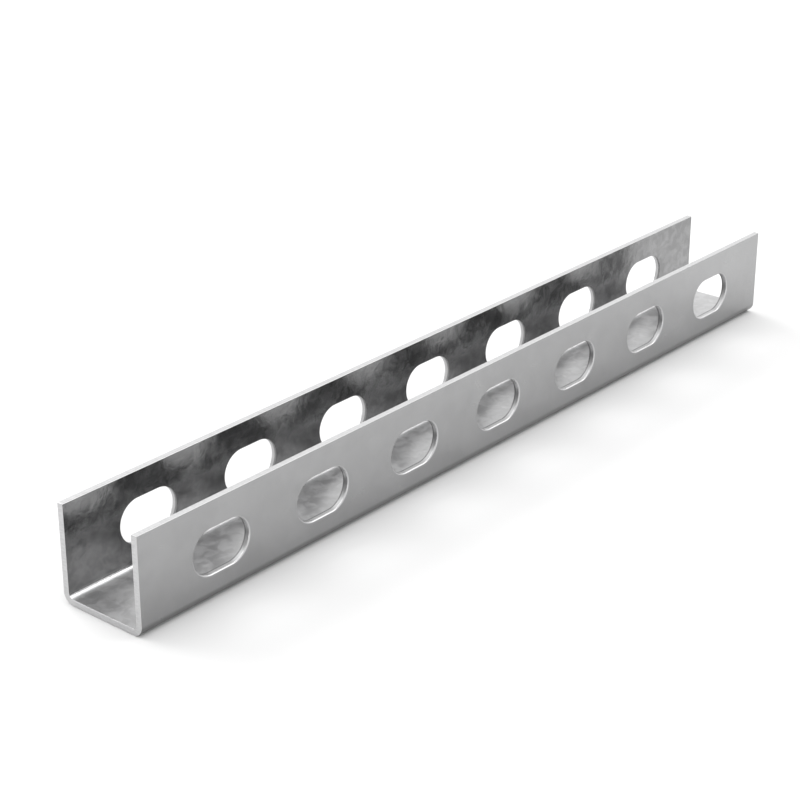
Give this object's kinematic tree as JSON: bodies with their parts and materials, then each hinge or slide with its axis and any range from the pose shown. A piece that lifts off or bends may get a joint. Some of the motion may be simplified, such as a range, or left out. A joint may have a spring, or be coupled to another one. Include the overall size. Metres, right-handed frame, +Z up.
{
  "type": "slotted strut channel",
  "caption": "Plain U-section strut channel in galvanized steel, with a row of round-ended slots along each flange and a closed web.",
  "frame": {"origin": "centre of the underside of the web, half way along the channel", "axes": "+X along the length, +Y across the web from the front flange to the back one, +Z up out of the open side of the trough"},
  "size_m": [0.3, 0.03, 0.03],
  "materials": {
    "galvanized_steel": "dull zinc coat with a fine spangle, bare brighter steel at the punched and sawn edges"
  },
  "bodies": {
    "root": {"channel": "galvanized_steel"}
  },
  "joints": []
}
